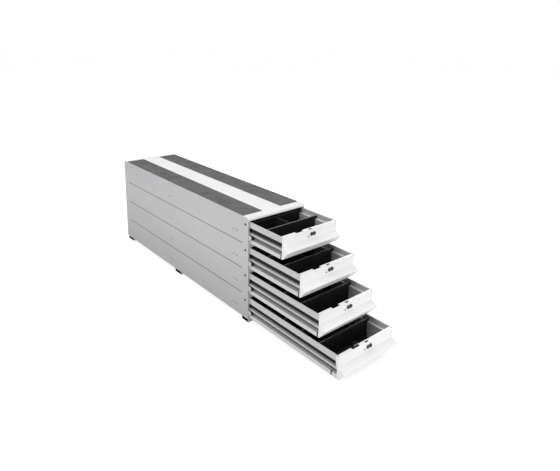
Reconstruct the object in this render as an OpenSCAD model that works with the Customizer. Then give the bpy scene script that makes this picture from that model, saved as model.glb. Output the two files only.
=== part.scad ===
// Long four-drawer steel unit for a vehicle bed.
// X runs across the fronts, -Y is the side the drawers open to, and Z is up.
// The origin is on the ground under the middle of the cabinet.
// The drawers are drawn pulled out by different amounts, the top one least.

/* [Cabinet] */
// Width over the side panels
body_w = 320; // [300:1:400]
// Depth from the front edge to the back panel
body_d = 1220; // [1100:1:1400]
// Thickness of all sheet steel
sheet = 1.5; // [1.5:0.1:1.6]
// Radius of the rolled front edge of the top
roll_r = 12.5; // [10:0.5:14]
// Height of the skids
skid_h = 16; // [14:0.5:24]
// Depth of the middle and rear skids
skid_d = 60; // [50:1:80]
// Depth of the front skid
front_skid_d = 45; // [42:1:60]
// Diameter of the floor bolt holes
floor_hole_d = 9; // [7:0.5:11]
// Distance between the floor bolts across the cabinet
floor_bolt_x = 220; // [180:1:240]

/* [Drawers] */
// Distance from one drawer to the next
level_pitch = 117; // [117:1:120]
// Height of a drawer side
side_h = 95.5; // [95:0.5:96]
// Depth of a groove rolled into the drawer side
groove_depth = 12; // [11.8:0.1:12.4]
// Travel from closed to fully open
travel = 860; // [700:1:880]
// How far the top drawer is drawn out
top_pull = 190; // [60:1:250]
// How much further each lower drawer is drawn out
pull_step = 108; // [20:1:150]

/* [Fronts] */
// Depth of the hollow front
front_t = 13; // [12.5:0.5:13.5]
// How far the pull stands out from the front
pull_out = 31; // [20:0.5:36]
// Width of the notch in the top of the front, for the finger on the latch
notch_w = 40; // [36:1:42]
// Middle of the latch notch, measured from the middle of the front
notch_x = -58; // [-66:1:-54]
// Middle of the key barrel, measured from the middle of the front
lock_x = 20; // [16:0.5:24]
// Diameter of the key plug
plug_d = 12; // [10:0.5:12.5]

/* [Slides] */
// Diameter of the rollers on the cabinet
front_roller_d = 20; // [19:0.2:20]
// Diameter of the rollers on the drawers
rear_roller_d = 17.9; // [17:0.1:17.9]
// Width of every roller
roller_w = 9; // [8:0.1:9]
// Diameter of the stub axles
axle_d = 6; // [5:0.5:7]

/* [Inserts] */
// Distance from the front to the first cross divider
first_divider = 115; // [90:1:130]
// Distance from the front to the second cross divider
second_divider = 218; // [180:1:260]
// Distance from the front to the third cross divider
third_divider = 321; // [300:1:420]
// Width of one of the two rubber strips on the top
strip_w = 105; // [80:1:120]
// Thickness of a rubber strip
strip_t = 2; // [1.5:0.1:3]
// Number of ribs along a rubber strip
strip_ribs = 21; // [9:2:31]

/* [Hidden] */
// Number of drawers, and of the shelves between them
levels = 4;

// Smoothness of the round shapes
$fn = 48;

// Clearances and the small overrun that lets a cut pass through a face
run_fit = 0.1;
gap = 0.3;
hole_fit = 0.1;
over = 1;

// Heights of the levels, from the ground
drawer_lift = 2.5;
first_level = skid_h + sheet + drawer_lift;
rail_gap = 1.5;
top_gap = 4;
body_h = first_level + (levels - 1) * level_pitch + side_h + top_gap + roll_r;
shelf_h = level_pitch - side_h - 2 * rail_gap;
function level_z(n) = first_level + (levels - n) * level_pitch;
function pull(n) = top_pull + (n - 1) * pull_step;

// Cabinet faces
half_w = body_w / 2;
in_w = half_w - sheet;
front_y = -body_d / 2;
back_y = body_d / 2;

// Posts that carry the front rollers
post_d = 38;
post_lip = 6;
post_gap = 2;
ear_r = 11;
rail_start = post_d + post_gap;
rail_back = 10;

// Section of the drawer side, as heights above its lower edge
drawer_clear = 0.5;
outer_x = in_w - post_lip - drawer_clear;
web_x = outer_x - groove_depth;
low_face_h = 17;
rib_low = 38;
rib_high = 45.5;
upper_wall = 69;
bend_r = 2;
hem_w = 14;
hem_h = 7;

// Slit in the lower face of the drawer side: behind the front, and further back with a round end
// and a hole in the web on the lowest drawer
slit_w = 4;
slit_back = 4.5;
low_slit_back = 34;
low_slit_foot = 7;
slit_hole_d = 7;
web_hole_back = 47;
web_hole_h = 21.5;

// Drawer lengths, measured from the outside of its front when it is closed
face_gap = 6;
face_y = front_y - front_t - face_gap;
drawer_back_gap = 40;
drawer_end = back_y - face_y - drawer_back_gap;
inner_wall_y = front_t - sheet;

// Section of the front, above the lower edge of the drawer
front_top = 94;
front_low = 3;
pull_start = 52;
pull_tip = 37;
pull_foot = 4;
nose_r = 3;

// End caps: the lowest front has wider caps with a slanted rear edge
cap_out = 4;
cap_rear = 6;
cap_bend_low = 42;
cap_bend_high = 67;
function front_half(n) = n == levels ? outer_x + cap_out : outer_x;

// Rollers and the channel that the rear ones run in
roller_ahead = 7;
front_roller_y = front_y - roller_ahead;
front_roller_h = rib_low - gap - front_roller_d / 2;
channel_low = 46.5;
channel_high = 68;
channel_reach = 15;
rear_roller_h = (channel_low + channel_high) / 2;
rear_roller_in = 20;
rear_roller_y = drawer_end - rear_roller_in;
roller_lift = 1.2;
collar_d = 9;
head_t = 1;
roller_out = outer_x;

// Bolts and rivets in the side panels
bolt_in = 21;
bolt_up = 81;
bolt_d = 6;
bolt_head_d = 11;
bolt_head_t = 3.5;
bolt_nut_t = 2.5;
rivet_d = 4;
rivet_head_d = 7;
rivet_head_t = 1.2;
rivet_up = 36;
rivet_first = 82;
rivet_pair = 24;
rivet_far_share = 0.54;
rivet_places = [rivet_first, rivet_first + rivet_pair,
    body_d * rivet_far_share, body_d * rivet_far_share + rivet_pair];
rail_low = 28;

// Seams in the side panels
seam_t = 2;
seam_front = 48;
seam_rear = 53;
seam_drop = 7;
seam_down = 7.5;

// Latch: drawn pressed down by latch_drop, and drawn up in the lowest drawer
latch_w = 26;
latch_shift = 10;
latch_x = notch_x + latch_shift;
latch_t = 2;
latch_drop = 14;
latch_top = 96;
latch_low = 62;
function latch_down(n) = n == levels ? 0 : latch_drop;
hook_top = 100.5;
hook_arm_h = 88;
hook_y = 22.5;
hook_t = 2.5;
hook_slope = 1.5;
wall_notch_low = 80;
guide_w = 4;
guide_t = 4;

// Lock
lock_h = 71;
lock_case_r = 8;
lock_case_t = 3;
lock_lobe = 14;
barrel_d = 15;
bolt_slot_w = 18;
bolt_slot_x = 0;
bolt_slot_low = 92;
block_y = 8;
block_h = 10;
cam_l = 34;
cam_w = 9;
cam_t = 2;
cam_y = 21.5;
key_w = 2;
key_h = 8;
key_deep = 3;
plug_proud = 1.5;
plug_fit = 1;
screw_x = -11;
screw_h = 64;
screw_d = 3;
screw_head_d = 6;
screw_head_t = 1.2;
backing_t = 1.5;

// Inserts
mat_t = 2;
divider_t = 1.5;
divider_top = 86;
divider_hem = 5;
ear_gap = 0.5;
long_divider_x = -10;
clip_d = 18;
clip_in = 126;
clip_out = 145;
clip_low = 55;
clip_top = 79;

// Rubber strips
strip_edge = 3;
strip_front = 43;
strip_rear = 33;
strip_rib_share = 0.5;

// Skids
skid_in = 1;
skid_rear_in = 13;
floor_bolt_in = 30;
floor_bolt_y = body_d - 2 * floor_bolt_in;

// A box between two corners
module box(low, high) {
    translate(low) cube(high - low);
}

// A plate across the part: an outline in depth and height, given a thickness along X
module across(x0, x1) {
    translate([x0, 0, 0]) rotate([90, 0, 90]) linear_extrude(x1 - x0) children();
}

// An outline in width and height, given a length along Y
module along(y0, y1) {
    translate([0, y1, 0]) rotate([90, 0, 0]) linear_extrude(y1 - y0) children();
}

// A round bar along X
module bar_x(x0, x1, d) {
    translate([x0, 0, 0]) rotate([0, 90, 0]) cylinder(d = d, h = x1 - x0);
}

// A round bar along Y
module bar_y(y0, y1, d) {
    translate([0, y0, 0]) rotate([-90, 0, 0]) cylinder(d = d, h = y1 - y0);
}

// Draws its children on the left, or mirrored on the right
module on_side(side) {
    if (side < 0) children();
    else mirror([1, 0, 0]) children();
}

// Outline of the side panel, with the rolled corner at the top of the front edge
module side_outline() {
    union() {
        translate([front_y, skid_h]) square([body_d, body_h - skid_h - roll_r]);
        translate([front_y + roll_r, skid_h]) square([body_d - roll_r, body_h - skid_h]);
        translate([front_y + roll_r, body_h - roll_r]) circle(r = roll_r);
    }
}

// One seam line with the short hook at its front end
module seam(n) {
    z = level_z(n) - rail_gap - seam_down;
    y = front_y + seam_front;
    translate([y, z]) square([body_d - seam_front - seam_rear, seam_t]);
    translate([y - seam_t, z + seam_t - seam_drop]) square([seam_t, seam_drop]);
    translate([y - over / 2, z]) square([over, seam_t]);
}

module side_panel() {
    difference() {
        across(-half_w, -in_w) difference() {
            side_outline();
            for (n = [1 : levels - 1]) seam(n);
        }
        for (n = [1 : levels]) {
            at_bolt(n) bar_x(-half_w - over, -in_w + over, bolt_d + 2 * hole_fit);
            for (y = rivet_places)
                at_rivet(n, y) bar_x(-half_w - over, -in_w + over, rivet_d + 2 * hole_fit);
        }
    }
}

module at_bolt(n) {
    translate([0, front_y + bolt_in, level_z(n) + bolt_up]) children();
}

module at_rivet(n, y) {
    translate([0, front_y + y, level_z(n) + rivet_up]) children();
}

module side_left() {
    color("gainsboro") on_side(-1) side_panel();
}

module side_right() {
    color("gainsboro") on_side(1) side_panel();
}

// Top sheet, rolled down over the front and turned down inside each side
module top_cover() {
    flange_h = 14;
    color("white") union() {
        across(-in_w, in_w) {
            translate([front_y + roll_r, body_h - sheet]) square([body_d - roll_r, sheet]);
            intersection() {
                difference() {
                    translate([front_y + roll_r, body_h - roll_r]) circle(r = roll_r);
                    translate([front_y + roll_r, body_h - roll_r]) circle(r = roll_r - sheet);
                }
                translate([front_y, body_h - roll_r]) square(roll_r);
            }
        }
        for (side = [-1, 1]) on_side(side)
            box([-in_w, front_y + rail_start, body_h - flange_h],
                [-in_w + sheet, back_y - sheet, body_h - sheet / 2]);
    }
}

// Bottom sheet on the skids, turned up along both sides
module bottom_pan() {
    flange_h = 10;
    color("white") union() {
        box([-in_w, front_y, skid_h], [in_w, back_y, skid_h + sheet]);
        for (side = [-1, 1]) on_side(side)
            box([-in_w, front_y + rail_start, skid_h],
                [-in_w + sheet, back_y - sheet, skid_h + sheet + flange_h]);
    }
}

// Back sheet between the sides, with its edges turned forward
module back_panel() {
    flange_d = 8;
    edge_in = 20;
    z0 = skid_h + sheet;
    z1 = body_h - sheet;
    color("white") union() {
        box([-in_w, back_y - sheet, z0], [in_w, back_y, z1]);
        for (side = [-1, 1]) on_side(side)
            box([-in_w, back_y - sheet - flange_d, z0 + edge_in],
                [-in_w + sheet, back_y - sheet / 2, z1 - edge_in]);
    }
}

// Upright behind the front edge, with an ear and a stub axle for each front roller
module post() {
    z0 = skid_h + sheet;
    z1 = body_h - roll_r;
    difference() {
        union() {
            box([-in_w, front_y, z0], [-in_w + sheet, front_y + post_d, z1]);
            box([-in_w, front_y, z0], [-in_w + post_lip, front_y + sheet, z1]);
            for (n = [1 : levels]) translate([0, 0, level_z(n) + front_roller_h]) {
                translate([0, front_roller_y, 0]) bar_x(-in_w, -in_w + sheet, 2 * ear_r);
                box([-in_w, front_roller_y, -ear_r], [-in_w + sheet, front_y + sheet, ear_r]);
                translate([0, front_roller_y, 0]) front_axle();
            }
        }
        for (n = [1 : levels])
            at_bolt(n) bar_x(-in_w - over, -in_w + sheet + over, bolt_d + 2 * hole_fit);
    }
}

// Stub axle: a collar against the ear, the shaft, and a head that keeps the roller on
module front_axle() {
    x0 = -in_w + sheet / 2;
    x1 = -roller_out + roller_w;
    bar_x(x0, -roller_out - gap, collar_d);
    bar_x(x0, x1 + gap + head_t, axle_d);
    bar_x(x1 + gap, x1 + gap + head_t, collar_d);
}

module post_left() {
    color("gainsboro") on_side(-1) post();
}

module post_right() {
    color("gainsboro") on_side(1) post();
}

// Channels for the rear rollers, with a wider web below that is riveted to the panel
module rails() {
    y0 = front_y + rail_start;
    y1 = back_y - rail_back;
    stop_y = face_y + rear_roller_y - travel - rear_roller_d / 2 - over;
    difference() {
        for (n = [1 : levels]) translate([0, 0, level_z(n)]) {
            box([-in_w, y0, rail_low], [-in_w + sheet, y1, channel_high]);
            box([-in_w, y0, channel_low], [-in_w + channel_reach, y1, channel_low + sheet]);
            box([-in_w, y0, channel_high - sheet], [-in_w + channel_reach, y1, channel_high]);
            box([-in_w, stop_y - sheet, channel_low],
                [-in_w + channel_reach - sheet, stop_y, channel_high]);
        }
        for (n = [1 : levels], y = rivet_places)
            at_rivet(n, y) bar_x(-in_w - over, -in_w + sheet + over, rivet_d + 2 * hole_fit);
    }
}

module rails_left() {
    color("silver") on_side(-1) rails();
}

module rails_right() {
    color("silver") on_side(1) rails();
}

// Sheet between two drawers, with a front lip and turned-down sides
module shelf(n) {
    z1 = level_z(n) - rail_gap;
    z0 = z1 - shelf_h;
    behind = front_y + rail_start;
    y1 = back_y - rail_back;
    lip_x = in_w - post_lip;
    color("white") union() {
        box([-in_w + sheet, front_y + sheet, z1 - sheet], [in_w - sheet, behind + over, z1]);
        box([-lip_x, front_y, z0], [lip_x, front_y + sheet, z1]);
        box([-lip_x, front_y + sheet / 2, z1 - sheet], [lip_x, behind, z1]);
        box([-in_w, behind, z1 - sheet], [in_w, y1, z1]);
        for (side = [-1, 1]) on_side(side)
            box([-in_w, behind, z0], [-in_w + sheet, y1, z1]);
    }
}

// Open-ended tube under the floor of the cabinet
module skid(y, d, bolted) {
    x1 = half_w - skid_in;
    color("dimgray") difference() {
        box([-x1, y - d / 2, 0], [x1, y + d / 2, skid_h]);
        box([-x1 - over, y - d / 2 + sheet, sheet], [x1 + over, y + d / 2 - sheet, skid_h - sheet]);
        if (bolted) for (side = [-1, 1])
            translate([side * floor_bolt_x / 2, sign(y) * floor_bolt_y / 2, -over])
                cylinder(d = floor_hole_d, h = sheet + 2 * over);
    }
}

module skid_front() {
    skid(front_y + front_skid_d / 2, front_skid_d, true);
}

module skid_middle() {
    skid(0, skid_d, false);
}

module skid_rear() {
    skid(back_y - skid_rear_in - skid_d / 2, skid_d, true);
}

// Ribbed rubber strip lying on the top sheet
module strip() {
    rib_pitch = strip_w / strip_ribs;
    x0 = -half_w + strip_edge;
    color("dimgray") along(front_y + strip_front, back_y - strip_rear) {
        translate([x0, body_h]) square([strip_w, strip_t * strip_rib_share]);
        for (i = [0 : strip_ribs - 1])
            translate([x0 + (i + (1 - strip_rib_share) / 2) * rib_pitch, body_h])
                square([rib_pitch * strip_rib_share, strip_t]);
    }
}

module strip_left() {
    on_side(-1) strip();
}

module strip_right() {
    on_side(1) strip();
}

// Bolts that hold the posts: a domed head outside, the shank and a nut inside
module panel_bolts() {
    nut_x = -in_w + sheet;
    color("dimgray") for (n = [1 : levels], side = [-1, 1]) on_side(side) at_bolt(n) {
        bar_x(-half_w, nut_x + bolt_nut_t, bolt_d);
        translate([-half_w, 0, 0]) rotate([0, -90, 0]) dome(bolt_head_d / 2, bolt_head_t);
        translate([nut_x, 0, 0]) rotate([0, 90, 0]) cylinder(d = bolt_head_d, h = bolt_nut_t, $fn = 6);
    }
}

// A low dome of a given foot radius and height
module dome(r, h) {
    ball = (r * r + h * h) / (2 * h);
    intersection() {
        translate([0, 0, h - ball]) sphere(r = ball);
        cylinder(r = r, h = h);
    }
}

module rail_rivets() {
    tail_x = -in_w + sheet;
    color("silver") for (n = [1 : levels], side = [-1, 1], y = rivet_places) on_side(side) at_rivet(n, y) {
        bar_x(-half_w - rivet_head_t, -half_w, rivet_head_d);
        bar_x(-half_w - rivet_head_t / 2, tail_x + rivet_head_t, rivet_d);
        bar_x(tail_x, tail_x + rivet_head_t, rivet_head_d);
    }
}

// Puts a drawer part at its level, drawn out as far as its drawer
module in_drawer(n) {
    translate([0, face_y - pull(n), level_z(n)]) children();
}

// A rectangle whose two left corners are rounded
module rounded_left(x0, x1, z0, z1, r) {
    translate([x0 + r, z0]) square([x1 - x0 - r, z1 - z0]);
    translate([x0, z0 + r]) square([x1 - x0, z1 - z0 - 2 * r]);
    for (z = [z0 + r, z1 - r]) translate([x0 + r, z]) circle(r = r);
}

// The space inside a drawer side, grown outwards by t: two grooves leave a rib between them
module side_section(t, r) {
    inner = outer_x - sheet;
    web = web_x - sheet;
    rounded_left(-inner - t, 0, sheet - t, low_face_h - sheet + t, r);
    rounded_left(-inner - t, 0, rib_low + sheet - t, rib_high - sheet + t, r);
    rounded_left(-inner - t, 0, upper_wall + sheet - t, side_h + over, r);
    translate([-web - t, sheet - t]) square([web, side_h - sheet + t]);
}

// Roll-formed side of a drawer with its stub axle at the rear
module drawer_side(n) {
    difference() {
        along(sheet, drawer_end) {
            intersection() {
                difference() {
                    side_section(sheet, bend_r);
                    side_section(0, bend_r - sheet);
                }
                translate([-outer_x, 0]) square([hem_w, side_h]);
            }
            translate([-outer_x, side_h - hem_h]) square([2 * sheet, hem_h]);
        }
        if (n == levels) keyhole();
        else box([-outer_x - over, slit_back, -over],
            [-outer_x + sheet + over, slit_back + slit_w, low_face_h + over]);
    }
    translate([0, rear_roller_y, rear_roller_h]) rear_axle();
}

// Slit with a round end in the lower face, and the hole in the web behind it
module keyhole() {
    x1 = -outer_x + sheet + over;
    box([-outer_x - over, low_slit_back, low_slit_foot], [x1, low_slit_back + slit_w, low_face_h + over]);
    translate([0, low_slit_back + slit_w / 2, low_slit_foot]) bar_x(-outer_x - over, x1, slit_hole_d);
    translate([0, web_hole_back, web_hole_h]) bar_x(-web_x - over, -web_x + sheet + over, slit_hole_d);
}

// Stub axle of the rear roller, outwards from the web of the drawer side
module rear_axle() {
    x0 = -web_x + sheet / 2;
    x1 = -web_x - roller_lift - gap - roller_w - gap;
    bar_x(-web_x - roller_lift, x0, collar_d);
    bar_x(x1 - head_t, x0, axle_d);
    bar_x(x1 - head_t, x1, collar_d);
}

module drawer_sides(n) {
    color("gainsboro") in_drawer(n) for (side = [-1, 1]) on_side(side) drawer_side(n);
}

// Outline of a wall that stands on the floor of a drawer and fills it from side to side, clear of the hems
module wall_outline(z1) {
    wide = outer_x - sheet - gap;
    narrow = web_x - sheet - gap;
    foot = sheet + run_fit;
    ledge = upper_wall + sheet;
    translate([-narrow, foot]) square([2 * narrow, z1 - foot]);
    translate([-wide, ledge]) square([2 * wide, side_h - hem_h - gap - ledge]);
    translate([-wide + sheet, ledge]) square([2 * (wide - sheet), z1 - ledge]);
}

// Floor with the back wall and the inner front wall standing on it, and the guides for the latch
module drawer_tray(n) {
    floor_x = outer_x - hem_w;
    wall_top = front_top - sheet;
    color("white") in_drawer(n) difference() {
        union() {
            box([-floor_x, inner_wall_y, 0], [floor_x, drawer_end, sheet]);
            along(inner_wall_y, inner_wall_y + sheet) wall_outline(wall_top);
            along(drawer_end - sheet, drawer_end) wall_outline(side_h);
            for (edge = [-1, 1]) translate([latch_x + edge * (latch_w / 2 + gap), 0, 0]) latch_guide(edge);
        }
        box([notch_x - notch_w / 2, inner_wall_y - over, wall_notch_low],
            [notch_x + notch_w / 2, inner_wall_y + sheet + over, wall_top + over]);
        translate([lock_x, 0, lock_h])
            bar_y(inner_wall_y - over, inner_wall_y + sheet + over, plug_d + 2 * plug_fit);
    }
}

// One of the two lipped guides that the latch slides between
module latch_guide(edge) {
    y0 = front_t;
    stem = latch_t + 2 * gap;
    x0 = edge > 0 ? 0 : -guide_w;
    lip_x0 = edge > 0 ? -guide_w / 2 : -guide_w;
    top = hook_arm_h - latch_drop - sheet;
    box([x0, y0 - sheet / 2, latch_low - latch_drop], [x0 + guide_w, y0 + stem + sheet, top]);
    box([lip_x0, y0 + stem, latch_low - latch_drop], [lip_x0 + 1.5 * guide_w, y0 + stem + sheet, top]);
}

// Points of the front's section, from the top rear corner round to the bottom rear corner
front_points = [
    [front_t, front_top], [0, front_top], [0, pull_start],
    [-pull_out, pull_tip], [-pull_foot, front_low], [front_t, front_low]];

function unit(v) = v / norm(v);
function left_of(v) = [-v[1], v[0]];

// The point where two edges meet after both are moved inwards by t
function inset_corner(a, b, c, t) =
    let (u = unit(b - a), v = unit(c - b), m = unit(left_of(u) + left_of(v)))
    b + m * t / (m * left_of(u));

function inset(points, t) = [for (i = [0 : len(points) - 1])
    i == 0 ? points[0] + [over, -t]
    : i == len(points) - 1 ? points[i] + [over, t]
    : inset_corner(points[i - 1], points[i], points[i + 1], t)];

// Centre and touching points of a circle that rounds off corner b
function round_centre(a, b, c, r) = inset_corner(a, b, c, r);
function foot_on(p, a, b) = a + unit(b - a) * ((p - a) * unit(b - a));

// The section with its nose rounded off
module front_section(points, r) {
    a = points[2];
    b = points[3];
    c = points[4];
    m = round_centre(a, b, c, r);
    polygon([points[0], points[1], a, foot_on(m, a, b), foot_on(m, b, c), c, points[5]]);
    translate(m) circle(r = r);
}

// Outline of an end cap: the whole section forward of a rear edge
module cap_outline(n) {
    rear = n == levels ? cap_rear : sheet;
    rear_high = n == levels ? front_t : sheet;
    intersection() {
        front_section(front_points, nose_r);
        polygon([
            [-pull_out - over, front_low - over], [rear, front_low - over], [rear, cap_bend_low],
            [rear_high, cap_bend_high], [rear_high, front_top + over], [-pull_out - over, front_top + over]]);
    }
}

// Hollow front with the pull along its lower part, open at the rear
module drawer_front(n) {
    half = front_half(n);
    cap_x = half - sheet;
    color("white") in_drawer(n) difference() {
        union() {
            across(-cap_x - sheet / 2, cap_x + sheet / 2) difference() {
                front_section(front_points, nose_r);
                front_section(inset(front_points, sheet), nose_r - sheet);
            }
            for (side = [-1, 1]) on_side(side) across(-half, -cap_x) cap_outline(n);
        }
        // Notch in the top flange in front of the latch, and the slot for the block of the lock
        box([notch_x - notch_w / 2, sheet, wall_notch_low],
            [notch_x + notch_w / 2, front_t + over, front_top + over]);
        box([bolt_slot_x - bolt_slot_w / 2, -over, bolt_slot_low],
            [bolt_slot_x + bolt_slot_w / 2, block_y + gap, front_top + over]);
        // Holes for the lock and its screw
        translate([lock_x, 0, lock_h]) bar_y(-over, sheet + over, barrel_d + 2 * hole_fit);
        translate([screw_x, 0, screw_h]) bar_y(-over, sheet + over, screw_d + 2 * hole_fit);
        // The drawer sides and the inner wall pass in from the rear
        for (side = [-1, 1]) on_side(side)
            box([-half - over, cap_rear, -over], [-web_x, front_t + over, cap_bend_low]);
        for (side = [-1, 1]) on_side(side) {
            box([-outer_x - gap, sheet, -over], [-web_x, front_t + over, front_low + sheet + over]);
            box([-outer_x - gap, sheet, side_h - hem_h - gap],
                [-outer_x + 2 * sheet + gap, front_t + over, front_top + over]);
        }
        box([-web_x - over, inner_wall_y, -over], [web_x + over, front_t + over, front_low + sheet + over]);
    }
}

module drawer_mat(n) {
    color("black") in_drawer(n)
        box([-web_x + sheet + gap, front_t + gap, sheet],
            [web_x - sheet - gap, drawer_end - sheet - gap, sheet + mat_t]);
}

// Cross divider: its ears rest on the ledges inside the drawer sides, and a clip behind each end holds it
module cross_divider(y) {
    wide = outer_x - sheet - ear_gap;
    narrow = web_x - sheet - ear_gap;
    foot = sheet + mat_t;
    ledge = upper_wall + sheet;
    along(y, y + divider_t) {
        translate([-narrow, foot]) square([2 * narrow, divider_top - foot]);
        translate([-wide, ledge]) square([2 * wide, divider_top - ledge]);
    }
    box([-narrow, y, divider_top - divider_t], [narrow, y + divider_hem, divider_top]);
    for (side = [-1, 1]) on_side(side) along(y + divider_t / 2, y + divider_t + clip_d) {
        translate([-narrow, clip_low]) square([narrow - clip_in, clip_top - clip_low]);
        translate([-clip_out, ledge]) square([clip_out - clip_in, clip_top - ledge]);
    }
}

module drawer_dividers(n) {
    foot = sheet + mat_t;
    color([0.08, 0.08, 0.08]) in_drawer(n) {
        for (y = [first_divider, second_divider, third_divider]) cross_divider(y);
        box([long_divider_x, first_divider + divider_t / 2, foot],
            [long_divider_x + divider_t, second_divider + divider_t / 2, divider_top]);
    }
}

// Two-lobed lock cover, its barrel, the backing plate, and the block that fills the slot
module drawer_lock(n) {
    plate_x0 = screw_x - screw_head_d;
    plate_x1 = lock_x + lock_case_r;
    block_x0 = bolt_slot_x - bolt_slot_w / 2 + gap;
    block_x1 = bolt_slot_x + bolt_slot_w / 2 - gap;
    plate_low = screw_h - screw_head_d;
    plate_top = front_top - sheet - gap;
    color([0.05, 0.05, 0.05]) in_drawer(n) difference() {
        union() {
            for (x = [lock_x - lock_lobe, lock_x]) translate([x, 0, lock_h])
                bar_y(-lock_case_t, 0, 2 * lock_case_r);
            translate([lock_x, 0, lock_h]) bar_y(-lock_case_t, inner_wall_y - gap, barrel_d);
            box([plate_x0, sheet, plate_low], [plate_x1, sheet + backing_t, plate_top]);
            box([block_x0, sheet, front_top - block_h], [block_x1, block_y, front_top - over / 2]);
            translate([screw_x, 0, screw_h]) bar_y(-screw_head_t, 0, screw_head_d);
            translate([screw_x, 0, screw_h]) bar_y(-screw_head_t, sheet + over / 2, screw_d);
        }
        translate([lock_x, 0, lock_h]) bar_y(-lock_case_t - over, front_t, plug_d + 2 * run_fit);
    }
}

// Key plug with its slot in front and a cam behind the inner wall
module drawer_plug(n) {
    color("silver") in_drawer(n) translate([lock_x, 0, lock_h]) difference() {
        union() {
            bar_y(-lock_case_t - plug_proud, cam_y + cam_t, plug_d);
            translate([0, cam_y, 0]) {
                box([-cam_l + cam_w / 2, 0, -cam_w / 2], [0, cam_t, cam_w / 2]);
                translate([-cam_l + cam_w / 2, 0, 0]) bar_y(0, cam_t, cam_w);
            }
        }
        box([-key_w / 2, -lock_case_t - plug_proud - over, -key_h / 2],
            [key_w / 2, -lock_case_t - plug_proud + key_deep, key_h / 2]);
    }
}

// Latch plate behind the inner wall, with its hook; a finger reaches it through the notch
module drawer_latch(n) {
    y0 = front_t + gap;
    y1 = y0 + latch_t;
    arm_top = hook_arm_h + hook_t;
    color("silver") in_drawer(n) translate([latch_x, 0, -latch_down(n)])
        across(-latch_w / 2, latch_w / 2)
            polygon([
                [y0, latch_top], [y0, latch_low], [y1, latch_low], [y1, hook_arm_h],
                [hook_y + hook_t, hook_arm_h], [hook_y + hook_t, hook_top],
                [hook_y + hook_slope, hook_top], [hook_y, hook_top - 2 * hook_slope],
                [hook_y, arm_top], [y1, arm_top], [y1, latch_top]]);
}

// A roller with eased edges, its axis along X and its outer face at zero
module roller(d) {
    ease = 1;
    bore = axle_d + 2 * run_fit;
    rotate([0, 90, 0]) rotate_extrude()
        polygon([[bore / 2, 0], [d / 2 - ease, 0], [d / 2, ease], [d / 2, roller_w - ease],
                 [d / 2 - ease, roller_w], [bore / 2, roller_w]]);
}

module drawer_front_rollers(n) {
    color([0.1, 0.1, 0.1]) for (side = [-1, 1]) on_side(side)
        translate([-roller_out, front_roller_y, level_z(n) + front_roller_h]) roller(front_roller_d);
}

module drawer_rear_rollers(n) {
    color([0.1, 0.1, 0.1]) in_drawer(n) for (side = [-1, 1]) on_side(side)
        translate([-web_x - roller_lift - gap - roller_w, rear_roller_y, rear_roller_h])
            roller(rear_roller_d);
}

side_left();
side_right();
top_cover();
bottom_pan();
back_panel();
post_left();
post_right();
rails_left();
rails_right();
skid_front();
skid_middle();
skid_rear();
strip_left();
strip_right();
panel_bolts();
rail_rivets();
for (n = [1 : levels - 1]) shelf(n);
for (n = [1 : levels]) {
    drawer_sides(n);
    drawer_tray(n);
    drawer_front(n);
    drawer_mat(n);
    drawer_dividers(n);
    drawer_lock(n);
    drawer_plug(n);
    drawer_latch(n);
    drawer_front_rollers(n);
    drawer_rear_rollers(n);
}
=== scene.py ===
import bpy, bmesh, math
from mathutils import Matrix, Vector


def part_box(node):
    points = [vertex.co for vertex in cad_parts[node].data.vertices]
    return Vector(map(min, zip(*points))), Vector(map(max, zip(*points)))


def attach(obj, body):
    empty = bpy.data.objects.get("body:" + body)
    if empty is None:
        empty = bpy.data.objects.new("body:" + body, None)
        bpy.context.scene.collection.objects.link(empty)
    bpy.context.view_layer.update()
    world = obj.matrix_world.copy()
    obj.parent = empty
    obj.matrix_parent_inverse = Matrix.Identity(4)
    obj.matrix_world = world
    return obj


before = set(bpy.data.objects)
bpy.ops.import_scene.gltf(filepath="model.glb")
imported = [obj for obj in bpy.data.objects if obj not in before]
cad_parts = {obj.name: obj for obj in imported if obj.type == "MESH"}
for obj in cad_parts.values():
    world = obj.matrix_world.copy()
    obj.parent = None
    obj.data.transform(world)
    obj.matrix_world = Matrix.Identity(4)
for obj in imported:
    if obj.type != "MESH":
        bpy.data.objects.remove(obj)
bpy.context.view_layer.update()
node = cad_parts


# Side panels: one steel sheet each, folded back at the front edge, with three rolled seams, powder coated.
# Their grey is partly the coat's own tone and partly painted shade, darker than the white of the top and
# fronts. The coat has a fine orange peel and faint rubbed marks from loading.
panel_grey_and_shade = (0.525, 0.525, 0.535)
panel_gloss = 0.42
along_panel = (1, 0.25, 1)
seam_zone = (0.1276, 0.1304)
seam_ends = (-0.5643, 0.5573)
seam_skin = (0.1580, 0.1603)
all_seams = (0.1, 0.4)
level_pitch = 0.117
shade_fade_top, shade_fade_tone = 0.30, 0.78


def new_finish(name):
    """A material with its node tree, its shader and the object coordinates its patterns lie in."""
    finish = bpy.data.materials.new(name)
    finish.use_nodes = True
    tree = finish.node_tree
    place = tree.nodes.new("ShaderNodeTexCoord").outputs["Object"]
    return finish, tree, tree.nodes["Principled BSDF"], place


def stretched(tree, place, scale):
    """Coordinates scaled along each axis, which draws a pattern out."""
    mapping = tree.nodes.new("ShaderNodeMapping")
    mapping.inputs["Scale"].default_value = scale
    tree.links.new(place, mapping.inputs["Vector"])
    return mapping.outputs["Vector"]


def noise(tree, place, scale, detail=2.0):
    """A cloudy pattern from nought to one."""
    cloud = tree.nodes.new("ShaderNodeTexNoise")
    cloud.inputs["Scale"].default_value = scale
    cloud.inputs["Detail"].default_value = detail
    tree.links.new(place, cloud.inputs["Vector"])
    return cloud.outputs["Fac"]


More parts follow.
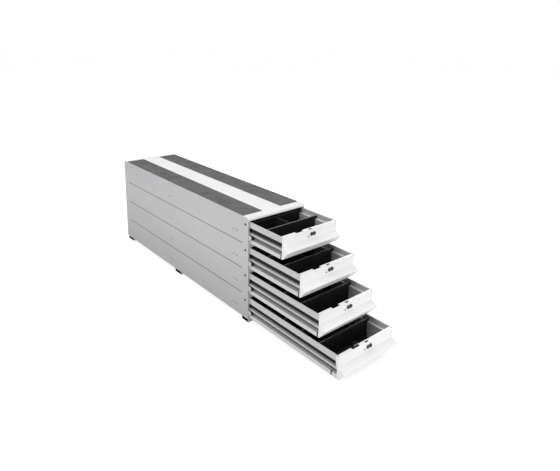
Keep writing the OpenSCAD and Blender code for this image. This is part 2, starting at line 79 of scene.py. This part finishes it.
def colour_by(tree, shader, pattern, low, high, start=0.0, end=1.0):
    """Colours the shader from low to high while the pattern rises from start to end."""
    tone = tree.nodes.new("ShaderNodeValToRGB")
    first, last = tone.color_ramp.elements
    first.position, last.position = start, end
    first.color, last.color = (*low, 1), (*high, 1)
    tree.links.new(pattern, tone.inputs["Fac"])
    tree.links.new(tone.outputs["Color"], shader.inputs["Base Color"])


def ranged(tree, value, low, high, top=1.0):
    """Runs from low to high while the value rises from nought to top."""
    rise = tree.nodes.new("ShaderNodeMapRange")
    rise.inputs["From Max"].default_value = top
    rise.inputs["To Min"].default_value = low
    rise.inputs["To Max"].default_value = high
    tree.links.new(value, rise.inputs["Value"])
    return rise.outputs["Result"]


def roughen(tree, shader, pattern, strength, height):
    """Raises the pattern a little out of the surface."""
    bump = tree.nodes.new("ShaderNodeBump")
    bump.inputs["Strength"].default_value = strength
    bump.inputs["Distance"].default_value = height
    tree.links.new(pattern, bump.inputs["Height"])
    tree.links.new(bump.outputs["Normal"], shader.inputs["Normal"])


def worked(tree, operation, *values):
    """A step of arithmetic on sockets or numbers."""
    step = tree.nodes.new("ShaderNodeMath")
    step.operation = operation
    for socket, value in zip(step.inputs, values):
        if isinstance(value, float):
            socket.default_value = value
        else:
            tree.links.new(value, socket)
    return step.outputs["Value"]


def film_over(tree, film_tone):
    """Multiplies the shader's colour and gives the node that does it, to set or link."""
    shader = tree.nodes["Principled BSDF"]
    film = tree.nodes.new("ShaderNodeMix")
    film.data_type = "RGBA"
    film.blend_type = "MULTIPLY"
    film.inputs["Factor"].default_value = 1.0
    film.inputs[7].default_value = (film_tone, film_tone, film_tone * 0.97, 1)
    tree.links.new(shader.inputs["Base Color"].links[0].from_socket, film.inputs[6])
    tree.links.new(film.outputs[2], shader.inputs["Base Color"])
    return film


def shade_where(coat, tone, *limits):
    """Paints shade into a finish where every limit holds, and light where the tone is above one. A
    limit is an axis, a low, a high and, where the zone comes again, the length after which it does, in
    metres. X counts from the middle."""
    tree = coat.node_tree
    place = tree.nodes.new("ShaderNodeTexCoord").outputs["Object"]
    axes = tree.nodes.new("ShaderNodeSeparateXYZ")
    tree.links.new(place, axes.inputs["Vector"])
    inside = None
    for axis, low, high, *again in limits:
        value = axes.outputs[axis]
        if axis == "X":
            value = worked(tree, "ABSOLUTE", value)
        if again:
            value = worked(tree, "FLOORED_MODULO", worked(tree, "SUBTRACT", value, low), again[0])
            low, high = -0.00001, high - low
        within = worked(tree, "COMPARE", value, (low + high) / 2, (high - low) / 2)
        inside = worked(tree, "MULTIPLY", inside, within) if inside else within
    tree.links.new(inside, film_over(tree, tone).inputs["Factor"])


def powder_coat(name, colour, roughness, streak=(1, 1, 1)):
    """Satin powder coat: mottled colour, long faint rub marks and an orange-peel surface."""
    coat, tree, shader, place = new_finish(name)
    drawn = stretched(tree, place, streak)
    marked = [c * 0.94 for c in colour]
    marked[2] *= 1.01
    colour_by(tree, shader, noise(tree, drawn, 9.0, 5.0), marked, colour, 0.30, 0.72)
    rub = noise(tree, drawn, 38.0, 4.0)
    tree.links.new(ranged(tree, rub, roughness - 0.07, roughness + 0.08), shader.inputs["Roughness"])
    roughen(tree, shader, noise(tree, place, 900.0), 0.05, 0.0004)
    return coat


def finish_with(coat, *names):
    """Gives CAD nodes their finish."""
    for name in names:
        part = node[name]
        if not part.material_slots:
            part.data.materials.append(coat)
        for held in part.material_slots:
            held.material = coat


def ease_edges(width, *names):
    """Breaks the sharp edges of folded sheet by a fraction of a millimetre."""
    for name in names:
        part = node[name]
        weld = part.modifiers.new("join corners", "WELD")
        weld.merge_threshold = 0.000002
        fold = part.modifiers.new("broken edge", "BEVEL")
        fold.width = width
        fold.segments = 2
        fold.limit_method = "ANGLE"
        fold.angle_limit = math.radians(40)
        even = part.modifiers.new("even shading", "WEIGHTED_NORMAL")
        even.keep_sharp = True


side_coat = powder_coat("side panel coat", panel_grey_and_shade, panel_gloss, along_panel)
# Painted shadow in the seams, one above each drawer but the top one
shade_where(side_coat, 0.10, ("X", *seam_skin), ("Y", *seam_ends), ("Z", *all_seams),
            ("Z", *seam_zone, level_pitch))
# Painted shade: the panels darken towards the floor
side_tree = side_coat.node_tree
side_axes = side_tree.nodes.new("ShaderNodeSeparateXYZ")
side_tree.links.new(side_tree.nodes.new("ShaderNodeTexCoord").outputs["Object"], side_axes.inputs["Vector"])
shade_fade = ranged(side_tree, side_axes.outputs["Z"], shade_fade_tone, 1.0, shade_fade_top)
side_tree.links.new(shade_fade, film_over(side_tree, 1.0).inputs[7])
finish_with(side_coat, "side_left", "side_right")
ease_edges(0.0004, "side_left", "side_right")


# Top sheet: rolled down over the front edge and folded inside the side panels, powder coated
# white. Most of it lies under the two rubber strips, so only its middle and borders are seen.
top_coat = powder_coat("white powder coat", (0.86, 0.86, 0.86), 0.38, (1, 0.3, 1))
finish_with(top_coat, "top_cover")
ease_edges(0.0003, "top_cover")


# Rubber strips: two ribbed black mats glued along the top so that a load doesn't slide.
# The rubber is mottled paler in patches.
def rubber(name, colour, worn):
    """Matt rubber with a dusty bloom and fine pits."""
    skin, tree, shader, place = new_finish(name)
    colour_by(tree, shader, noise(tree, place, 14.0, 6.0), colour, worn, 0.35, 0.70)
    shader.inputs["Roughness"].default_value = 0.72
    roughen(tree, shader, noise(tree, place, 600.0), 0.15, 0.0005)
    return skin


strip_rubber = rubber("strip rubber", (0.105, 0.105, 0.108), (0.150, 0.150, 0.153))
finish_with(strip_rubber, "strip_left", "strip_right")
ease_edges(0.0003, "strip_left", "strip_right")


# Bottom sheet, back sheet and the three skids under them: steel, powder coated like the sides.
# The skids are open-ended tubes welded to the bottom sheet, bolted down through their floors.
panel_coat = powder_coat("panel powder coat", panel_grey_and_shade, panel_gloss, along_panel)
finish_with(panel_coat, "bottom_pan", "back_panel")
ease_edges(0.0004, "bottom_pan", "back_panel")

# The bores of the skids are painted nearly black inside, as painted shade
skid_wall = 0.001
bore_top = 0.015
for name, depth in (("skid_front", 0.045), ("skid_middle", 0.060), ("skid_rear", 0.060)):
    skid_coat = powder_coat(name.replace("_", " ") + " coat", panel_grey_and_shade, panel_gloss)
    middle = (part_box(name)[0][1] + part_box(name)[1][1]) / 2
    half_bore = depth / 2 - skid_wall
    shade_where(skid_coat, 0.04, ("Y", middle - half_bore, middle + half_bore), ("Z", skid_wall, bore_top))
    finish_with(skid_coat, name)
    ease_edges(0.0004, name)


# Front posts: folded steel uprights with an ear and a stub axle at each drawer, bolted to the
# side panels and coated with them.
finish_with(panel_coat, "post_left", "post_right")


# Channels behind the posts: zinc-plated strips with two flanges that the rear rollers run
# between, riveted to the side panels. The plating has fine lines along its length.
def plated_steel(name, colour, roughness, brushed=(1, 1, 1)):
    """Plated or bare steel with fine lines along its length."""
    metal, tree, shader, place = new_finish(name)
    shader.inputs["Metallic"].default_value = 1.0
    lines = noise(tree, stretched(tree, place, brushed), 260.0, 4.0)
    colour_by(tree, shader, lines, [c * 0.78 for c in colour], colour)
    tree.links.new(ranged(tree, lines, roughness - 0.08, roughness + 0.10), shader.inputs["Roughness"])
    return metal


finish_with(plated_steel("zinc plate", (0.62, 0.63, 0.65), 0.38, (1, 0.05, 1)), "rails_left", "rails_right")
finish_with(plated_steel("dull rivet", (0.30, 0.30, 0.31), 0.50), "rail_rivets")


# Shelf sheets between the drawers: a front lip, a floor and turned-down sides, coated white.
# Their turned-down sides are painted dark outside, as painted shadow for the dark line of each seam.
shelf_coat = powder_coat("shelf powder coat", (0.74, 0.74, 0.74), 0.42)
shade_where(shelf_coat, 0.03, ("X", 0.1582, 0.1590))
finish_with(shelf_coat, "shelf_1", "shelf_2", "shelf_3")


# Bolts of the posts: steel with domed heads outside the side panels and nuts inside, one at
# each drawer and side, plated black.
finish_with(plated_steel("black zinc", (0.06, 0.06, 0.065), 0.35), "panel_bolts")


# Drawer sides: each one length of steel rolled into two grooves with a rib between them, that
# runs on the rollers, and hemmed along the top. Coated pale grey, darker than the white fronts
# as partly painted shade; the zones below carry painted shade and painted light.
pull_out = 0.031
groove_skins, outer_skin = (0.1392, 0.1508), (0.1512, 0.1530)
# Each zone is a tone (below one painted shade, above one painted light), a range of half widths and a range
# of heights above the lower edge
side_shade_and_light_zones = (
    (0.24, groove_skins, (0.0174, 0.0385)),         # lower groove, in shade
    (1.18, outer_skin, (0.0, 0.0172)),              # lower face, painted light
    (0.74, (0.1499, 0.1508), (0.0712, 0.0960)),     # inside of the upper face, painted shade
    (0.60, (0.1382, 0.1388), (0.0020, 0.0690)),     # inside of the web, painted shade
    (1.35, (0.1386, 0.1499), (0.0700, 0.0708)),     # ledge that the dividers rest on, painted light
)
slit_zone = 0.0044
behind_slit = (0.1380, 0.1507)
for n in range(1, 5):
    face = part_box(f"drawer_{n}_front")[0][1] + pull_out
    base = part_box(f"drawer_{n}_sides")[0][2]
    drawer_coat = powder_coat(f"drawer {n} side coat", (0.55, 0.55, 0.56), 0.40, (1, 0.2, 1))
    for tone, across, (foot, top) in side_shade_and_light_zones:
        shade_where(drawer_coat, tone, ("X", *across), ("Z", base + foot, base + top))
    # Painted shade inside the lower box, behind the slit
    shade_where(drawer_coat, 0.04, ("X", *behind_slit), ("Y", face, face + 0.05),
                ("Z", base + 0.0014, base + 0.0166))
    # Painted shadow in the slit, which lies right behind the front, and further back on the lowest drawer
    back, foot, top = (0.0339, 0.0035, 0.0172) if n == 4 else (0.0044, 0.0, 0.0380)
    shade_where(drawer_coat, 0.05, ("X", 0.1395, 0.1530), ("Y", face + back, face + back + slit_zone),
                ("Z", base + foot, base + top))
    finish_with(drawer_coat, f"drawer_{n}_sides")
    ease_edges(0.0003, f"drawer_{n}_sides")


# Groove liners: a thin black sheet in the upper groove of each drawer side, a dark sheet put
# there as painted shade of the groove. It is extruded, with one lip turned out above.
groove_shade_sheet, groove_shade_tree, groove_shade_shader, groove_shade_place = new_finish("groove shade sheet")
groove_shade_lines = noise(groove_shade_tree, stretched(groove_shade_tree, groove_shade_place, (1, 0.04, 1)), 320.0, 3.0)
colour_by(groove_shade_tree, groove_shade_shader, groove_shade_lines, (0.012, 0.012, 0.012), (0.028, 0.027, 0.027))
groove_shade_shader.inputs["Roughness"].default_value = 0.75
groove_shade_shader.inputs["Specular IOR Level"].default_value = 0.2

# Half widths and heights of the sheet's two skins, from its lower edge up and out along the lip
groove_shade_outside = [(0.1400, 0.0458), (0.1400, 0.0655), (0.1403, 0.0671), (0.1412, 0.0684),
                (0.1430, 0.0690), (0.1510, 0.0690)]
groove_shade_inside = [(0.1405, 0.0458), (0.1405, 0.0654), (0.1408, 0.0669), (0.1416, 0.0680),
               (0.1431, 0.0685), (0.1510, 0.0685)]
groove_shade_start, groove_shade_stop = 0.0045, 0.032
for n in range(1, 5):
    low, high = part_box(f"drawer_{n}_sides")
    base, near, far = low[2], low[1] + groove_shade_start, high[1] - groove_shade_stop
    ring = groove_shade_outside + groove_shade_inside[::-1]
    count = len(ring)
    liner = bmesh.new()
    for side in (-1, 1):
        ends = [[liner.verts.new((side * x, y, base + z)) for x, z in ring] for y in (near, far)]
        for i in range(count):
            j = (i + 1) % count
            liner.faces.new((ends[0][i], ends[0][j], ends[1][j], ends[1][i]))
        for k in range(len(groove_shade_outside) - 1):
            for end in ends:
                liner.faces.new((end[k], end[k + 1], end[count - 2 - k], end[count - 1 - k]))
    bmesh.ops.recalc_face_normals(liner, faces=liner.faces)
    liner_mesh = bpy.data.meshes.new(f"drawer_{n}_groove_shade_liner")
    liner.to_mesh(liner_mesh)
    liner.free()
    liner_mesh.materials.append(groove_shade_sheet)
    piece = bpy.data.objects.new(f"drawer_{n}_groove_shade_liner", liner_mesh)
    bpy.context.collection.objects.link(piece)
    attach(piece, f"drawer_{n}")


# Drawer trays: floor, back wall and inner front wall with the guides of the latch, folded from
# steel sheet and coated pale grey. The wall's side towards the hollow front is painted dark, as painted
# shade.
for n in range(1, 5):
    tray_coat = powder_coat(f"drawer {n} tray coat", (0.62, 0.62, 0.63), 0.42)
    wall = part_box(f"drawer_{n}_tray")[0][1]
    shade_where(tray_coat, 0.05, ("Y", wall - 0.0003, wall + 0.0003))
    finish_with(tray_coat, f"drawer_{n}_tray")
    ease_edges(0.0003, f"drawer_{n}_tray")


# Mats: black rubber sheets cut to the drawer floors, on which they lie loose. They keep tools
# from sliding and hold a little dust.
mat_skin = rubber("mat rubber", (0.012, 0.012, 0.012), (0.022, 0.022, 0.022))
for n in range(1, 5):
    finish_with(mat_skin, f"drawer_{n}_mat")


# Dividers: moulded black plastic walls on the ledges of the drawer sides, each held by a clip
# behind its ends. Their top edges are painted pale, as painted highlights.
def moulded_plastic(name, colour, roughness):
    """Moulded plastic with a fine spark-eroded grain and slight scuffs."""
    skin, tree, shader, place = new_finish(name)
    scuff = noise(tree, place, 45.0, 6.0)
    colour_by(tree, shader, scuff, colour, [c * 1.6 for c in colour], 0.40, 0.75)
    tree.links.new(ranged(tree, scuff, roughness - 0.06, roughness + 0.12), shader.inputs["Roughness"])
    roughen(tree, shader, noise(tree, place, 1400.0), 0.10, 0.0003)
    return skin


top_edge_zone = (0.1057, 0.1063)
divider_skin = moulded_plastic("divider plastic", (0.006, 0.006, 0.006), 0.50)
divider_skin.node_tree.nodes["Principled BSDF"].inputs["Specular IOR Level"].default_value = 0.3
# Painted highlight along the top edge of each divider
shade_where(divider_skin, 20.0, ("Z", *top_edge_zone, level_pitch))
for n in range(1, 5):
    finish_with(divider_skin, f"drawer_{n}_dividers")
    ease_edges(0.0004, f"drawer_{n}_dividers")


# Drawer fronts: hollow folded steel with a full-width pull along the lower part, and end caps,
# powder coated white outside. The inside of the hollow is painted dark, as painted shade.
shade_inset = 0.0013
for n in range(1, 5):
    front_coat = powder_coat(f"drawer {n} front coat", (0.86, 0.86, 0.86), 0.36)
    low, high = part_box(f"drawer_{n}_front")
    shade_where(front_coat, 0.05, ("X", 0.0, high[0] - shade_inset),
                ("Y", low[1] + pull_out + shade_inset, high[1] + 0.001),
                ("Z", low[2] + 0.0003, high[2] - shade_inset))
    finish_with(front_coat, f"drawer_{n}_front")
    ease_edges(0.0005, f"drawer_{n}_front")


# Locks: a black moulded cover of two lobes with the barrel through it, a backing plate and a
# block that fills the slot in the top edge, held by one screw.
lock_skin = moulded_plastic("lock plastic", (0.012, 0.012, 0.012), 0.35)
for n in range(1, 5):
    finish_with(lock_skin, f"drawer_{n}_lock")


# Key plugs: turned cylinders in the barrels of the locks, with a key slot in front and a cam
# behind, plated black.
plug_plate = plated_steel("black plug plate", (0.07, 0.07, 0.07), 0.30)
for n in range(1, 5):
    finish_with(plug_plate, f"drawer_{n}_plug")


# Latches: zinc-plated steel plates behind the notch of the front, with a hook behind them that
# is painted nearly black, as painted shade in the hollow. The lowest one stands up.
plate_t = 0.0022
for n in range(1, 5):
    latch_zinc = plated_steel(f"latch {n} zinc", (0.36, 0.36, 0.37), 0.45)
    low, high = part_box(f"drawer_{n}_latch")
    shade_where(latch_zinc, 0.03, ("Y", low[1] + plate_t, high[1] + 0.001))
    finish_with(latch_zinc, f"drawer_{n}_latch")


# Rollers: moulded black nylon with eased edges. They run on steel stub axles, the front ones on
# the posts and the rear ones on the drawer sides.
roller_skin = moulded_plastic("roller nylon", (0.015, 0.015, 0.015), 0.42)
for n in range(1, 5):
    finish_with(roller_skin, f"drawer_{n}_front_rollers", f"drawer_{n}_rear_rollers")


# Studio: a plain pale floor, soft lights above, before the front and on both sides, and a white
# world. The floor reads white to the camera and keeps the object's shadow.
def seen_directly(tree):
    """One for what the camera sees, also by way of metal or glass, and nought for light."""
    path = tree.nodes.new("ShaderNodeLightPath").outputs
    sent_on = worked(tree, "MAXIMUM", path["Is Glossy Ray"], path["Is Transmission Ray"])
    return worked(tree, "MAXIMUM", path["Is Camera Ray"], sent_on)


floor_reach = 30.0
floor_tone = 0.66
floor_corners = [(x * floor_reach, y * floor_reach, 0) for x, y in ((-1, -1), (1, -1), (1, 1), (-1, 1))]
floor_mesh = bpy.data.meshes.new("studio floor")
floor_mesh.from_pydata(floor_corners, [], [(0, 1, 2, 3)])
studio_floor = bpy.data.objects.new("studio_floor", floor_mesh)
bpy.context.collection.objects.link(studio_floor)
paper = bpy.data.materials.new("studio paper")
paper.use_nodes = True
paper_tree = paper.node_tree
paper_shader = paper_tree.nodes["Principled BSDF"]
paper_shader.inputs["Base Color"].default_value = (floor_tone, floor_tone, floor_tone, 1)
paper_shader.inputs["Roughness"].default_value = 1.0
paper_shader.inputs["Specular IOR Level"].default_value = 0.0
glow = paper_tree.nodes.new("ShaderNodeEmission")
glow.inputs["Color"].default_value = (1, 1, 1, 1)
both = paper_tree.nodes.new("ShaderNodeAddShader")
lift = worked(paper_tree, "MULTIPLY", seen_directly(paper_tree), floor_tone)
paper_tree.links.new(lift, glow.inputs["Strength"])
paper_tree.links.new(paper_shader.outputs["BSDF"], both.inputs[0])
paper_tree.links.new(glow.outputs["Emission"], both.inputs[1])
paper_tree.links.new(both.outputs["Shader"], paper_tree.nodes["Material Output"].inputs["Surface"])
floor_mesh.materials.append(paper)

light_level, backdrop_level = 0.50, 1.0
world = bpy.data.worlds.new("studio")
bpy.context.scene.world = world
world.use_nodes = True
sky = world.node_tree
for old in list(sky.nodes):
    sky.nodes.remove(old)
choose = sky.nodes.new("ShaderNodeMixShader")
sky.links.new(seen_directly(sky), choose.inputs["Fac"])
for place, level in ((1, light_level), (2, backdrop_level)):
    plain = sky.nodes.new("ShaderNodeBackground")
    plain.inputs["Color"].default_value = (1, 1, 1, 1)
    plain.inputs["Strength"].default_value = level
    sky.links.new(plain.outputs["Background"], choose.inputs[place])
sky.links.new(choose.outputs["Shader"], sky.nodes.new("ShaderNodeOutputWorld").inputs["Surface"])


def soft_light(name, place, aim, size, power):
    """A square area light at place, turned to aim."""
    lamp = bpy.data.lights.new(name, "AREA")
    lamp.shape = "SQUARE"
    lamp.size = size
    lamp.energy = power
    held = bpy.data.objects.new(name, lamp)
    held.location = place
    held.rotation_euler = (Vector(aim) - Vector(place)).to_track_quat("-Z", "Y").to_euler()
    bpy.context.collection.objects.link(held)


soft_light("light overhead", (0.0, -0.2, 3.4), (0, -0.2, 0), 2.4, 34.5)
soft_light("light before the front", (0.5, -3.7, 0.42), (0, -0.9, 0.25), 0.8, 32.5)
soft_light("light from the left", (-2.9, -0.9, 1.7), (-0.2, -0.5, 0.25), 1.4, 39)
soft_light("light from the right", (2.9, 0.9, 1.5), (0.2, 0.2, 0.25), 1.4, 20)


# Camera: where the photograph was taken from, found from the cabinet's and drawers' corners.
# Its focal length is that of the photograph in pixels, and the shift keeps the framing.
turn, pitch, roll = math.radians(40.71), math.radians(-13.14), math.radians(1.11)
stand = (-1.3836, -2.2257, 1.2465)
focal_pixels, photo_width, sensor_width = 513.1, 560, 36
ahead = Vector((math.sin(turn) * math.cos(pitch), math.cos(turn) * math.cos(pitch), math.sin(pitch)))
level = Vector((math.cos(turn), -math.sin(turn), 0))
above = level.cross(ahead)
right = math.cos(roll) * level + math.sin(roll) * above
up = -math.sin(roll) * level + math.cos(roll) * above
camera = bpy.data.objects.new("camera", bpy.data.cameras.new("camera"))
camera.matrix_world = Matrix((
    (right.x, up.x, -ahead.x, stand[0]),
    (right.y, up.y, -ahead.y, stand[1]),
    (right.z, up.z, -ahead.z, stand[2]),
    (0, 0, 0, 1)))
camera.data.sensor_width = sensor_width
camera.data.lens = focal_pixels / photo_width * sensor_width
camera.data.shift_y = -0.15
camera.data.clip_end = 100
bpy.context.collection.objects.link(camera)
bpy.context.scene.camera = camera
bpy.context.scene.view_settings.view_transform = "Standard"
